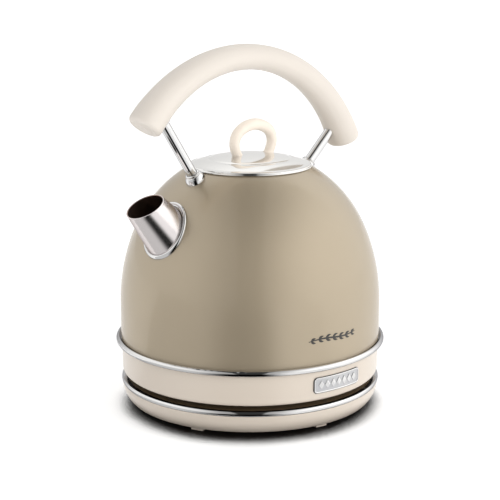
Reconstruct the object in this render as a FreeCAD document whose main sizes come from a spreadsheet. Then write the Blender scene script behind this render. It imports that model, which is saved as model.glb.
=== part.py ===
import FreeCAD, Part
import math
import os
from types import SimpleNamespace

import Sketcher

# A domed electric kettle that stands on a round power base.
# Millimetres, +Z up. The origin is the centre of the base on the surface that it stands on.
# The spout points towards -X, and the arched handle stands in the XZ plane over the lid.

V = FreeCAD.Vector
UP = V(0, 0, 1)
ALONG_Y = V(0, 1, 0)
ALONG_X = V(1, 0, 0)

doc = FreeCAD.newDocument("Kettle")

# ---------------------------------------------------------------- driving dimensions

DIMENSIONS = [
    # power base
    ("pad_height", 0.9), ("base_bottom", 3.0), ("base_lower", 86.0), ("base_upper", 91.0),
    ("bowl_curve", 17.6), ("base_wall", 2.2), ("band_bottom", 15.3), ("band_top", 18.5),
    ("band_reach", 0.4), ("band_curve", 2.3), ("base_top", 18.0), ("plate_thick", 2.0),
    ("rib_inner", 70.0), ("rib_outer", 74.0), ("rib_top", 22.4), ("floor_radius", 83.9),
    ("foot_reach", 78.5), ("foot_long", 11.0), ("foot_wide", 8.5), ("pad_radius", 3.6),
    ("boss_reach", 60.0), ("boss_radius", 3.5), ("screw_radius", 1.4), ("head_radius", 3.0),
    ("head_high", 1.6), ("gland_height", 10.0), ("gland_radius", 4.5), ("cord_radius", 3.3),
    ("gland_inner", 80.0), ("gland_outer", 91.6), ("clamp_reach", 66.0), ("clamp_long", 6.0),
    ("clamp_wide", 24.0), ("clamp_bottom", 13.35), ("clamp_high", 2.4), ("clamp_pitch", 16.0),
    # plug-in connector
    ("post_radius", 13.0), ("post_top", 32.0), ("post_bottom", 9.0), ("well_radius", 23.5),
    ("flange_radius", 26.5), ("flange_high", 1.2), ("groove_inner", 7.0), ("groove_outer", 10.0),
    ("groove_bottom", 22.0), ("socket_bore", 3.0), ("contact_sheet", 0.4),
    ("hub_inner", 13.5), ("hub_outer", 15.8), ("hub_bottom", 20.8), ("hub_roof", 33.0),
    ("hub_top", 36.5), ("hub_flange", 18.5),
    # skirt, bead and bottom of the jug
    ("skirt_bottom", 21.9), ("skirt_lower", 87.9), ("skirt_radius", 90.9), ("skirt_curve", 3.2),
    ("skirt_wall", 2.2), ("skirt_top", 43.4), ("cover_bottom", 22.8), ("cover_radius", 87.3),
    ("bead_bottom", 43.5), ("bead_radius", 95.0), ("bead_roll", 2.05), ("bead_inner", 88.0),
    ("bead_seat", 45.2), ("bead_lip", 92.1),
    # painted dome
    ("shell_radius", 91.5), ("shell_wall", 0.8), ("shell_bottom", 45.4), ("dome_start", 71.4),
    ("flank_curve", 133.3), ("dome_join", 125.7), ("crown_curve", 89.3), ("neck_edge", 41.0),
    ("neck_roll", 1.6), ("neck_bottom", 157.0),
    # vessel floor and heating
    ("floor_top", 57.0), ("floor_rim", 50.0), ("diffuser_radius", 70.0), ("diffuser_thick", 3.0),
    ("element_ring", 52.0), ("element_tube", 3.3), ("tube_radius", 4.0), ("tube_wall", 0.8),
    ("tube_reach", 78.0), ("tube_bottom", 46.0), ("tube_bend", 108.0), ("tube_top", 151.0),
    ("tube_top_reach", 52.0), ("tube_curve", 40.0), ("control_radius", 30.0),
    ("control_bottom", 38.0), ("control_high", 10.0),
    # switch at the back
    ("pivot_reach", 82.0), ("pivot_height", 33.0), ("pin_radius", 1.2), ("pin_gap", 0.07),
    ("lever_wide", 21.0), ("bracket_wide", 27.2), ("lens_wide", 14.0), ("lens_bottom", 39.5),
    ("lens_high", 2.4),
    # badge on the skirt
    ("badge_wide", 41.5), ("badge_high", 11.2), ("badge_height", 33.2), ("badge_corner", 2.8),
    ("badge_thick", 0.9),
    # spout and filter
    ("spout_x", -74.0), ("spout_z", 130.5), ("spout_tilt", 47.5), ("spout_foot", 17.0),
    ("spout_mouth", 13.0), ("spout_long", 26.6), ("mouth_tilt", 62.0), ("spout_wall", 0.8),
    ("collar_radius", 19.6), ("collar_high", 1.9), ("outlet_radius", 15.2),
    ("filter_tilt", 28.5), ("filter_wide", 35.2), ("filter_tall", 37.2), ("filter_thick", 2.6),
    ("filter_border", 3.0), ("mesh_thick", 0.4), ("seat_gap", 0.4), ("seat_wall", 0.8),
    # lid
    ("lid_top", 176.3), ("lid_curve", 125.0), ("lid_sheet", 0.8), ("lid_edge", 42.1),
    ("lid_radius", 42.9), ("lid_lip", 167.4), ("pan_radius", 37.2), ("pan_bottom", 158.0),
    ("pan_top", 169.6), ("seal_radius", 38.3), ("seal_bottom", 161.0), ("seal_high", 3.0),
    ("knob_x", 3.0), ("knob_radius", 3.8), ("knob_top", 195.9), ("knob_arch", 22.0),
    ("knob_shoulder", 10.5), ("knob_foot", 174.0),
    # handle
    ("front_foot", 48.7), ("rear_foot", 52.4), ("ferrule_radius", 6.8), ("ferrule_high", 4.9),
    ("ferrule_collar", 4.5), ("strut_radius", 3.65), ("stud_radius", 2.0), ("bore_gap", 0.05),
    ("grip_x", -8.0), ("grip_z", 136.5), ("grip_arc", 106.4), ("grip_half", 8.7),
    ("grip_swell", 3.1), ("grip_front", 142.2), ("grip_rear", 21.4),
]


class Size:
    """A number in millimetres or degrees, kept with the sheet expression that gives it."""

    def __init__(self, value, text):
        self.value = value
        self.text = text

    def _joined(self, other, sign, value):
        return Size(value, "(" + self.text + " " + sign + " " + size(other).text + ")")

    def __add__(self, other):
        return self._joined(other, "+", self.value + size(other).value)

    def __sub__(self, other):
        return self._joined(other, "-", self.value - size(other).value)

    def __mul__(self, other):
        return self._joined(other, "*", self.value * size(other).value)

    def __truediv__(self, other):
        return self._joined(other, "/", self.value / size(other).value)

    def __radd__(self, other):
        return size(other) + self

    def __rsub__(self, other):
        return size(other) - self

    def __neg__(self):
        return self * -1

    def root(self):
        return Size(math.sqrt(self.value), "sqrt(" + self.text + ")")


def size(number):
    """A plain number as a Size."""
    return number if isinstance(number, Size) else Size(float(number), repr(float(number)))


def make_sheet():
    sheet = doc.addObject("Spreadsheet::Sheet", "Dims")
    cells = {}
    for row, (alias, value) in enumerate(DIMENSIONS, start=1):
        sheet.set(f"A{row}", alias)
        sheet.set(f"B{row}", str(value))
        sheet.setAlias(f"B{row}", alias)
        cells[alias] = Size(value, "Dims." + alias)
    doc.recompute()
    return SimpleNamespace(**cells)


d = make_sheet()


# ---------------------------------------------------------------- helpers

def bind(thing, name, amount):
    """Drive a property from the sheet."""
    thing.setExpression(name, size(amount).text)


def arc_between(start, end, radius):
    """The short arc from start to end, with its centre on the left if radius is positive."""
    middle = (start + end) * 0.5
    chord = end - start
    left = V(-chord.y, chord.x, 0).normalize()
    reach = math.sqrt(max(radius ** 2 - (chord.Length / 2) ** 2, 0))
    centre = middle + left * math.copysign(reach, radius)
    first, last = (start, end) if radius > 0 else (end, start)
    a0 = math.atan2(first.y - centre.y, first.x - centre.x)
    a1 = math.atan2(last.y - centre.y, last.x - centre.x)
    if a1 < a0:
        a1 += 2 * math.pi
    return Part.ArcOfCircle(Part.Circle(centre, UP, abs(radius)), a0, a1)


def pin_point(sketch, edge, end, point):
    """Hold a sketch point at the two Sizes in point."""
    for kind, axis, amount in (("DistanceX", -2, point[0]), ("DistanceY", -1, point[1])):
        amount = size(amount)
        if amount.text == "0.0":
            sketch.addConstraint(Sketcher.Constraint("PointOnObject", edge, end, axis))
            continue
        held = sketch.addConstraint(
            Sketcher.Constraint(kind, -1, 1, edge, end, amount.value))
        sketch.setExpression(f"Constraints[{held}]", amount.text)


def draw(sketch, points, closed=True):
    """Draw an outline. A point (x, y) ends a line; (x, y, radius) ends an arc of that radius,
    whose centre lies on the left of the way there, or on the right if it is negative."""
    flat = [V(size(p[0]).value, size(p[1]).value, 0) for p in points]
    count = len(points)
    ends = []
    for i in range(count if closed else count - 1):
        target = points[(i + 1) % count]
        start, end = flat[i], flat[(i + 1) % count]
        if len(target) == 2:
            edge = sketch.addGeometry(Part.LineSegment(start, end))
            ends.append((edge, 1, 2))
            continue
        radius = size(target[2])
        edge = sketch.addGeometry(arc_between(start, end, radius.value))
        ends.append((edge, 1, 2) if radius.value > 0 else (edge, 2, 1))
        held = sketch.addConstraint(
            Sketcher.Constraint("Radius", edge, abs(radius.value)))
        sketch.setExpression(f"Constraints[{held}]", f"abs({radius.text})")
    for i, (edge, start, end) in enumerate(ends):
        pin_point(sketch, edge, start, points[i])
        after = (i + 1) % len(ends)
        if closed or i + 1 < len(ends):
            sketch.addConstraint(
                Sketcher.Constraint("Coincident", edge, end, ends[after][0], ends[after][1]))
        else:
            pin_point(sketch, edge, end, points[-1])


def sketch_on(body, role, name):
    """An empty sketch on one of the body's own origin planes."""
    plane = [f for f in body.Origin.OriginFeatures if f.Role == role][0]
    sketch = body.newObject("Sketcher::SketchObject", name)
    sketch.AttachmentSupport = [(plane, "")]
    sketch.MapMode = "FlatFace"
    return sketch


def new_body(label):
    body = doc.addObject("PartDesign::Body", label)
    body.Label = label
    return body


def turned(label, points):
    """A piece turned about the Z axis from a half section of (radius, height) points."""
    body = new_body(label)
    sketch = sketch_on(body, "XZ_Plane", label + "_section")
    draw(sketch, points)
    turn = body.newObject("PartDesign::Revolution", label + "_turn")
    turn.Profile = sketch
    turn.ReferenceAxis = (sketch, ["V_Axis"])
    turn.Angle = 360
    body.Tip = turn
    return body


def placed(thing, at, axis=UP):
    """Stand a primitive at a point whose coordinates are Sizes, with its Z along an axis."""
    spot = [size(c) for c in at]
    turn = FreeCAD.Rotation(UP, axis)
    thing.Placement = FreeCAD.Placement(V(*[c.value for c in spot]), turn)
    for letter, c in zip("xyz", spot):
        bind(thing, f".Placement.Base.{letter}", c)
    return thing


def rod(label, radius, length, at, axis=UP):
    thing = doc.addObject("Part::Cylinder", label)
    bind(thing, "Radius", radius)
    bind(thing, "Height", length)
    return placed(thing, at, axis)


def block(label, low, high):
    """A box between two corners."""
    thing = doc.addObject("Part::Box", label)
    for name, a, b in zip(("Length", "Width", "Height"), low, high):
        bind(thing, name, size(b) - a)
    return placed(thing, low)


def joined(label, things):
    thing = doc.addObject("Part::MultiFuse", label)
    thing.Shapes = things
    return thing


def cut(label, base, tools):
    """The base with every tool taken out of it."""
    thing = doc.addObject("Part::Cut", label)
    thing.Base = base
    thing.Tool = tools[0] if len(tools) == 1 else joined(label + "_tools", tools)
    return thing


def common(label, one, other):
    thing = doc.addObject("Part::Common", label)
    thing.Base = one
    thing.Tool = other
    return thing


def group(label, things):
    """Separate solids that share one node."""
    thing = doc.addObject("Part::Compound", label)
    thing.Links = things
    return thing


def tube(label, outer, inner, bottom, top):
    """A straight tube about the Z axis."""
    return turned(label, [(inner, bottom), (outer, bottom), (outer, top), (inner, top)])


def around(reach, degrees):
    """The point at an angle on a circle about the Z axis."""
    return (
        size(reach) * math.cos(math.radians(degrees)),
        size(reach) * math.sin(math.radians(degrees)),
    )


def direction(elevation, side):
    """A unit vector in the XZ plane: an angle above the horizontal, to -X or +X."""
    rise = math.radians(elevation)
    return V(side * math.cos(rise), 0, math.sin(rise))


def along(start, way, distance):
    """A point some way from a start, as coordinates."""
    return tuple(size(s) + size(distance) * w for s, w in zip(start, way))


def shape_of(label, shape):
    """A node whose shape comes from a calculation."""
    thing = doc.addObject("Part::Feature", label)
    thing.Shape = shape
    thing.Placement = FreeCAD.Placement()
    return thing


# ---------------------------------------------------------------- the dome's own geometry

class Dome:
    """Two tangent arcs: a long one for the flanks and a tighter one for the crown."""

    flank_centre = d.shell_radius - d.flank_curve
    join_rise = d.dome_join - d.dome_start
    join_run = (d.flank_curve * d.flank_curve - join_rise * join_rise).root()
    crown_x = flank_centre + join_run - d.crown_curve * join_run / d.flank_curve
    crown_z = d.dome_join - d.crown_curve * join_rise / d.flank_curve
    neck_run = d.neck_edge - crown_x
    neck_rise = (d.crown_curve * d.crown_curve - neck_run * neck_run).root()

    @classmethod
    def points(cls, offset):
        """The dome's half outline from its start up to the neck, moved out by an offset."""
        offset = size(offset)
        flank = d.flank_curve + offset
        crown = d.crown_curve + offset
        return [
            (d.shell_radius + offset, d.dome_start),
            (cls.flank_centre + flank * cls.join_run / d.flank_curve,
             d.dome_start + flank * cls.join_rise / d.flank_curve, flank),
            (cls.crown_x + crown * cls.neck_run / d.crown_curve,
             cls.crown_z + crown * cls.neck_rise / d.crown_curve, crown),
        ]

    @classmethod
    def height(cls, radius):
        """The height of the crown's outer surface at a radius."""
        run = size(radius) - cls.crown_x
        return cls.crown_z + (d.crown_curve * d.crown_curve - run * run).root()


def dome_form(label, offset):
    """A solid dome with the shell's outer surface moved out by an offset, used as a tool."""
    outline = Dome.points(offset)
    return turned(label, [(0, d.dome_start), *outline, (0, outline[-1][1])])


def arcs_backwards(points):
    """The same run of points from its last to its first, with each arc turned round."""
    back = [points[-1][:2]]
    for i in range(len(points) - 1, 0, -1):
        before = points[i - 1][:2]
        back.append(before if len(points[i]) == 2 else (*before, -points[i][2]))
    return back


nodes = []


def keep(*things):
    """Note the objects that are written out as nodes."""
    nodes.extend(things)


# ---------------------------------------------------------------- power base

FOOT_ANGLES = (36, 96, 156, 204, 264, 324)
BOSS_ANGLES = (45, 135, 225, 315)


def screw(label, reach, degrees, head_bottom, tip, head=None, shank=None):
    """A pan-head screw that points up, with its head at the bottom."""
    x, y = around(reach, degrees)
    head = head or d.head_radius
    shank = shank or d.screw_radius
    return joined(label, [
        rod(label + "_head", head, d.head_high, (x, y, head_bottom)),
        rod(label + "_shank", shank, size(tip) - head_bottom, (x, y, head_bottom)),
    ])


def power_base():
    inner = d.base_upper - d.base_wall
    ledge = d.base_upper - 3.4
    bowl = turned("base_bowl", [
        (d.well_radius + 0.1, d.base_top),
        (d.well_radius + 0.1, d.base_top - d.plate_thick),
        (ledge - 2.0, d.base_top - d.plate_thick),
        (ledge - 2.0, 13.4),
        (inner - 0.1, 13.4),
        (85.0, d.base_bottom + d.base_wall, -(d.bowl_curve - d.base_wall)),
        (d.floor_radius + 0.3, d.base_bottom),
        (d.base_lower, d.base_bottom),
        (d.base_upper, d.band_bottom, d.bowl_curve),
        (ledge, d.band_bottom),
        (ledge, d.base_top),
        (d.rib_outer, d.base_top),
        (d.rib_outer, d.rib_top),
        (d.rib_inner, d.rib_top),
        (d.rib_inner, d.base_top),
    ])
    floor_top = d.base_bottom + d.base_wall
    bosses = []
    pilots = []
    screws = []
    clearances = []
    for angle in BOSS_ANGLES:
        x, y = around(d.boss_reach, angle)
        bosses.append(rod(f"boss_{angle}", d.boss_radius, d.base_top - floor_top - 1.05,
                          (x, y, floor_top + 0.05)))
        pilots.append(rod(f"pilot_{angle}", d.screw_radius + d.bore_gap, 9.0, (x, y, floor_top)))
        screws.append(screw(f"base_screw_{angle}", d.boss_reach, angle, d.base_bottom + 0.1, 13.0))
        clearances.append(rod(f"way_{angle}", d.screw_radius + 0.2, 4.0, (x, y, d.base_bottom - 1)))
        clearances.append(rod(f"sink_{angle}", d.head_radius + 0.2, d.head_high + 1.15,
                              (x, y, d.base_bottom - 1)))
    gland_hole = rod("gland_hole", d.gland_radius + d.bore_gap, 20.0,
                     (d.gland_inner - 1, 0, d.gland_height), ALONG_X)
    housing = cut("base_housing", joined("base_moulding", [bowl, *bosses]), [*pilots, gland_hole])

    band = turned("base_band", [
        (ledge + 0.1, d.band_bottom + 0.1),
        (d.base_upper, d.band_bottom + 0.1),
        (d.base_upper + d.band_reach - 0.7, d.band_top, d.band_curve),
        (ledge + 0.1, d.band_top),
    ])

    clamp_posts = []
    clamp_ways = []
    clamp_screws = []
    clamp_sinks = []
    clamp_mid = d.clamp_reach + d.clamp_long / 2
    for side in (-1, 1):
        y = d.clamp_pitch / 2 * side
        tag = "left" if side < 0 else "right"
        clamp_posts.append(rod(f"clamp_post_{tag}", 3.0, d.clamp_bottom - floor_top - 0.05,
                               (clamp_mid, y, floor_top)))
        clamp_ways.append(rod(f"clamp_pilot_{tag}", 1.3, 6.0, (clamp_mid, y, 8.0)))
        clamp_screws.append(joined(f"clamp_screw_{tag}", [
            rod(f"clamp_shank_{tag}", 1.25, 6.5, (clamp_mid, y, 8.1)),
            rod(f"clamp_head_{tag}", 2.3, 1.3, (clamp_mid, y, 14.35)),
        ]))
        clamp_sinks.append(rod(f"clamp_way_{tag}", 1.35, 4.0, (clamp_mid, y, 12.0)))
        clamp_sinks.append(rod(f"clamp_sink_{tag}", 2.4, 3.0, (clamp_mid, y, 14.3)))
    plate = cut(
        "base_bottom_plate",
        joined("base_plate_moulding",
               [rod("base_disc", d.floor_radius, d.base_wall, (0, 0, d.base_bottom)),
                *clamp_posts]),
        [*clearances, *clamp_ways])
    clamp = cut(
        "cord_clamp",
        block("clamp_bar", (d.clamp_reach, -d.clamp_wide / 2, d.clamp_bottom),
              (d.clamp_reach + d.clamp_long, d.clamp_wide / 2, d.clamp_bottom + d.clamp_high)),
        clamp_sinks)

    gland = cut(
        "cord_gland",
        joined("gland_body", [
            rod("gland_barrel", d.gland_radius, d.gland_outer - d.gland_inner,
                (d.gland_inner, 0, d.gland_height), ALONG_X),
            rod("gland_flange", d.gland_radius + 0.25, 2.0,
                (d.gland_inner, 0, d.gland_height), ALONG_X)]),
        [rod("gland_bore", d.cord_radius, 20.0, (d.gland_inner - 2, 0, d.gland_height), ALONG_X)])

    feet = []
    pads = []
    for angle in FOOT_ANGLES:
        lug = doc.addObject("Part::Box", f"foot_{angle}")
        bind(lug, "Length", d.foot_long)
        bind(lug, "Width", d.foot_wide)
        bind(lug, "Height", d.base_bottom - d.pad_height - 0.02)
        turn = FreeCAD.Rotation(UP, angle)
        corner = turn.multVec(V((d.foot_reach - d.foot_long / 2).value, -d.foot_wide.value / 2, 0))
        lug.Placement = FreeCAD.Placement(V(corner.x, corner.y, d.pad_height.value), turn)
        feet.append(lug)
        x, y = around(d.foot_reach, angle)
        pads.append(rod(f"foot_pad_{angle}", d.pad_radius, d.pad_height - 0.02, (x, y, 0)))
    keep(housing, band, plate, clamp, gland, group("base_screws", screws),
         group("clamp_screws", clamp_screws), group("base_feet", feet), group("foot_pads", pads))


def connector():
    flange_top = d.base_top + 0.1 + d.flange_high
    post = turned("base_connector", [
        (0, d.post_bottom),
        (d.well_radius, d.post_bottom),
        (d.well_radius, d.base_top + 0.1),
        (d.flange_radius, d.base_top + 0.1),
        (d.flange_radius, flange_top),
        (d.post_radius, flange_top),
        (d.post_radius, d.post_top - 0.8),
        (d.post_radius - 0.8, d.post_top, 0.8),
        (d.groove_outer, d.post_top),
        (d.groove_outer, d.groove_bottom),
        (d.groove_inner, d.groove_bottom),
        (d.groove_inner, d.post_top),
        (d.socket_bore, d.post_top),
        (d.socket_bore, d.post_bottom + 11.0),
        (0, d.post_bottom + 11.0),
    ])
    low = d.groove_bottom + 0.1
    high = d.post_top - 2.0
    rings = group("contact_rings", [
        tube("contact_outer", d.groove_outer - 0.05, d.groove_outer - 0.05 - d.contact_sheet,
             low, high),
        tube("contact_inner", d.groove_inner + 0.05 + d.contact_sheet, d.groove_inner + 0.05,
             low, high),
    ])
    socket = tube("contact_sleeve", d.socket_bore - 0.05, d.socket_bore - 0.8,
                  d.post_bottom + 11.1, d.post_top - 1.0)
    hub = turned("jug_connector", [
        (0, d.hub_roof),
        (d.hub_inner, d.hub_roof),
        (d.hub_inner, d.hub_bottom),
        (d.hub_outer, d.hub_bottom),
        (d.hub_outer, 26.5),
        (d.hub_flange, 26.5),
        (d.hub_flange, 28.5),
        (d.hub_outer, 28.5),
        (d.hub_outer, d.hub_top),
        (0, d.hub_top),
    ])
    blades = group("connector_blades", [
        tube("blade_ring", 8.9, 8.1, 23.0, d.hub_roof - 0.05),
        rod("blade_pin", 1.7, d.hub_roof - 0.05 - 22.5, (0, 0, 22.5)),
    ])
    keep(post, rings, socket, hub, blades)


# ---------------------------------------------------------------- bottom of the jug

COVER_SCREW_ANGLES = (60, 180, 300)
COVER_SCREW_REACH = 83.9


def jug_bottom():
    skirt_inner = d.skirt_radius - d.skirt_wall
    ring = turned("skirt_ring", [
        (d.skirt_lower, d.skirt_bottom),
        (d.skirt_radius - 0.3, d.skirt_bottom + 3.0, d.skirt_curve),
        (d.skirt_radius, d.skirt_top),
        (skirt_inner, d.skirt_top),
        (skirt_inner - 0.3, d.skirt_bottom + 3.2),
        (d.skirt_lower - 0.4, d.skirt_bottom + 0.8),
    ])
    bosses = []
    pilots = []
    screws = []
    ways = []
    cover_top = d.cover_bottom + 2.0
    for angle in COVER_SCREW_ANGLES:
        x, y = around(COVER_SCREW_REACH, angle)
        bosses.append(rod(f"skirt_boss_{angle}", 5.0, 15.0, (x, y, cover_top + 0.05)))
        pilots.append(rod(f"skirt_pilot_{angle}", d.screw_radius + d.bore_gap, 10.0,
                          (x, y, cover_top)))
        ways.append(rod(f"cover_way_{angle}", d.screw_radius + 0.2, 4.0, (x, y, 21.5)))
        ways.append(rod(f"cover_sink_{angle}", 2.6, 3.0, (x, y, 21.5)))
        screws.append(screw(f"cover_screw_{angle}", COVER_SCREW_REACH, angle,
                            d.cover_bottom + 0.05, 33.0, head=size(2.4)))
    switch_slot = block("switch_slot", (84.0, -d.lever_wide / 2 - 0.6, 26.4),
                        (94.0, d.lever_wide / 2 + 0.6, 36.8))
    lens_slot = block("lens_slot", (84.0, -d.lens_wide / 2 - 0.05, d.lens_bottom - 0.05),
                      (94.0, d.lens_wide / 2 + 0.05, d.lens_bottom + d.lens_high + 0.05))
    skirt = cut("jug_skirt", joined("skirt_moulding", [ring, *bosses]),
                [*pilots, switch_slot, lens_slot])
    cover = cut("jug_bottom_cover", turned("cover_disc", [
        (d.hub_outer + 0.5, d.cover_bottom),
        (d.cover_radius, d.cover_bottom),
        (d.cover_radius, cover_top),
        (d.hub_flange + 2.1, cover_top),
        (d.hub_flange + 2.1, 31.0),
        (d.hub_flange + 0.5, 31.0),
        (d.hub_flange + 0.5, 25.4),
        (d.hub_outer + 0.5, 25.4),
    ]), ways)
    bead_mid = d.bead_radius - d.bead_roll
    bead = turned("bead_ring", [
        (d.bead_inner, d.bead_bottom),
        (bead_mid, d.bead_bottom),
        (d.bead_radius, d.bead_bottom + d.bead_roll, d.bead_roll),
        (bead_mid, d.bead_bottom + d.bead_roll * 2, d.bead_roll),
        (d.bead_lip, d.bead_bottom + d.bead_roll * 2 - 0.6),
        (d.bead_lip, d.bead_seat),
        (d.bead_inner, d.bead_seat),
    ])
    keep(skirt, cover, bead, group("jug_cover_screws", screws))


def heating():
    rim = d.shell_radius - d.shell_wall - 0.1
    dish = turned("floor_dish", [
        (0, d.floor_top - 1.0),
        (rim - d.shell_wall, d.floor_top - 1.0),
        (rim - d.shell_wall, d.floor_rim),
        (rim, d.floor_rim),
        (rim, d.floor_top),
        (0, d.floor_top),
    ])
    floor = cut("floor_plate", dish, [
        rod("tube_hole", d.tube_radius + d.bore_gap, 6.0, (d.tube_reach, 0, d.floor_top - 4))])
    diffuser_bottom = d.floor_top - 1.05 - d.diffuser_thick
    diffuser = rod("heat_diffuser", d.diffuser_radius, d.diffuser_thick, (0, 0, diffuser_bottom))
    element = doc.addObject("Part::Torus", "heating_element")
    bind(element, "Radius1", d.element_ring)
    bind(element, "Radius2", d.element_tube)
    element.Angle3 = 310
    ring_height = diffuser_bottom - d.element_tube - 0.05
    placed(element, (0, 0, ring_height))
    element.Placement = FreeCAD.Placement(V(0, 0, ring_height.value), FreeCAD.Rotation(UP, 25))
    terminals = []
    for tag, angle in (("live", 25), ("neutral", -25)):
        x, y = around(d.element_ring, angle)
        terminals.append(rod(f"terminal_{tag}", 1.6, 7.0, (x, y, 39.2)))
    control = joined("control_unit", [
        rod("control_disc", d.control_radius, d.control_high, (0, 0, d.control_bottom)),
        block("control_arm", (20.0, -9.0, d.control_bottom), (60.0, 9.0, 44.0)),
    ])
    discs = group("bimetal_discs", [
        rod("overheat_disc", 9.0, 0.5, (0, 0, d.control_bottom + d.control_high + 0.5)),
        rod("steam_disc", 6.0, 0.5, (72.0, 0, 45.5), ALONG_X),
    ])
    keep(floor, diffuser, element, group("element_terminals", terminals), control, discs)


def steam_tube():
    body = new_body("steam_tube")
    route = sketch_on(body, "XZ_Plane", "steam_route")
    lean = math.atan2((d.tube_reach - d.tube_top_reach).value, (d.tube_top - d.tube_bend).value)
    back = d.tube_curve * math.tan(lean / 2)
    bend_low = (d.tube_reach, d.tube_bend - back)
    bend_high = (d.tube_reach - back * math.sin(lean), d.tube_bend + back * math.cos(lean),
                 d.tube_curve)
    draw(route, [(d.tube_reach, d.tube_bottom), bend_low, bend_high,
                 (d.tube_top_reach, d.tube_top)], closed=False)
    ring = sketch_on(body, "XY_Plane", "steam_ring")
    ring.AttachmentOffset = FreeCAD.Placement(
        V(d.tube_reach.value, 0, d.tube_bottom.value), FreeCAD.Rotation())
    bind(ring, "AttachmentOffset.Base.x", d.tube_reach)
    bind(ring, "AttachmentOffset.Base.z", d.tube_bottom)
    for radius in (d.tube_radius, d.tube_radius - d.tube_wall):
        edge = ring.addGeometry(Part.Circle(V(0, 0, 0), UP, radius.value))
        ring.addConstraint(Sketcher.Constraint("Coincident", edge, 3, -1, 1))
        held = ring.addConstraint(Sketcher.Constraint("Radius", edge, radius.value))
        ring.setExpression(f"Constraints[{held}]", radius.text)
    pipe = body.newObject("PartDesign::AdditivePipe", "steam_pipe")
    pipe.Profile = ring
    pipe.Spine = (route, [])
    body.Tip = pipe
    keep(body)


# ---------------------------------------------------------------- switch and badge

def switch():
    half = d.lever_wide / 2
    x, z = d.pivot_reach, d.pivot_height
    lever = cut("power_switch", joined("lever_body", [
        block("lever_paddle", (x - 4.0, -half, z - 2.6), (96.4, half, z + 2.4)),
        rod("lever_nose", 2.5, d.lever_wide, (96.4, -half, z - 0.1), ALONG_Y),
        block("lever_tail", (x - 20.5, -4.0, z - 1.0), (x - 3.0, 4.0, z + 1.0)),
    ]), [rod("lever_bore", d.pin_radius + d.pin_gap, 40.0, (x, -20.0, z), ALONG_Y)])
    pin = rod("switch_pin", d.pin_radius, d.bracket_wide + 0.4,
              (x, -(d.bracket_wide + 0.4) / 2, z), ALONG_Y)
    wide = d.bracket_wide / 2
    low = d.cover_bottom + 2.05
    bracket = cut("switch_bracket",
                  block("bracket_block", (x - 5.0, -wide, low), (x + 4.5, wide, z + 5.9)), [
                      block("bracket_gap", (x - 7.0, -half - 0.9, low - 1.0),
                            (x + 7.0, half + 0.9, z + 4.4)),
                      rod("bracket_bore", d.pin_radius + d.bore_gap, 40.0, (x, -20.0, z), ALONG_Y),
                  ])
    lens = block("indicator_lens", (d.skirt_radius - 2.4, -d.lens_wide / 2, d.lens_bottom),
                 (d.skirt_radius + 0.4, d.lens_wide / 2, d.lens_bottom + d.lens_high))
    keep(lever, pin, bracket, lens)


def badge_plate():
    """A curved plate with rounded corners on the skirt's side."""
    x, z, r = d.badge_wide / 2, d.badge_high / 2, d.badge_corner
    low, high = d.badge_height - z, d.badge_height + z
    body = new_body("badge_outline")
    sketch = sketch_on(body, "XZ_Plane", "badge_sketch")
    draw(sketch, [
        (-x + r, low, r), (x - r, low), (x, low + r, r), (x, high - r),
        (x - r, high, r), (-x + r, high), (-x, high - r, r), (-x, low + r)])
    slab = body.newObject("PartDesign::Pad", "badge_slab")
    slab.Profile = sketch
    slab.Length = 100
    body.Tip = slab
    skin = tube("badge_skin", d.skirt_radius + d.badge_thick, d.skirt_radius + 0.03,
                low - 1.0, high + 1.0)
    keep(common("badge_plate", skin, body))


# ---------------------------------------------------------------- dome, spout and filter

spout_way = direction(d.spout_tilt.value, -1)
spout_root = (d.spout_x, 0, d.spout_z)
FRONT_TILT = 56.9
REAR_TILT = 44.4
STRUTS = {
    "front": ((-d.front_foot, 0, Dome.height(d.front_foot)), direction(FRONT_TILT, -1)),
    "rear": ((d.rear_foot, 0, Dome.height(d.rear_foot)), direction(REAR_TILT, 1)),
}


def body_shell():
    outer = Dome.points(0)
    inner = Dome.points(-d.shell_wall)
    roll_x = outer[-1][0] - d.neck_roll * Dome.neck_run / d.crown_curve
    roll_z = outer[-1][1] - d.neck_roll * Dome.neck_rise / d.crown_curve
    throat = roll_x - d.neck_roll
    wall = d.shell_wall
    blank = turned("shell_blank", [
        (d.shell_radius, d.shell_bottom),
        *outer,
        (throat, roll_z, d.neck_roll),
        (throat, d.neck_bottom),
        (throat + wall, d.neck_bottom),
        (throat + wall, roll_z),
        (*inner[-1][:2], -(d.neck_roll - wall)),
        *arcs_backwards(inner)[1:],
        (d.shell_radius - wall, d.shell_bottom),
    ])
    holes = [rod("outlet_hole", d.outlet_radius, 30.0,
                 along(spout_root, spout_way, -12), spout_way)]
    for side, (foot, way) in STRUTS.items():
        holes.append(rod(f"{side}_stud_hole", d.stud_radius + 0.2, 12.0,
                         along(foot, way, -6), way))
    keep(cut("body_shell", blank, holes))


def cone(label, foot_radius, mouth_radius, start, finish):
    """A tapered rod on the spout's axis, between two distances from its root."""
    thing = doc.addObject("Part::Cone", label)
    bind(thing, "Radius1", foot_radius)
    bind(thing, "Radius2", mouth_radius)
    bind(thing, "Height", size(finish) - start)
    return placed(thing, along(spout_root, spout_way, start), spout_way)


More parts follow.
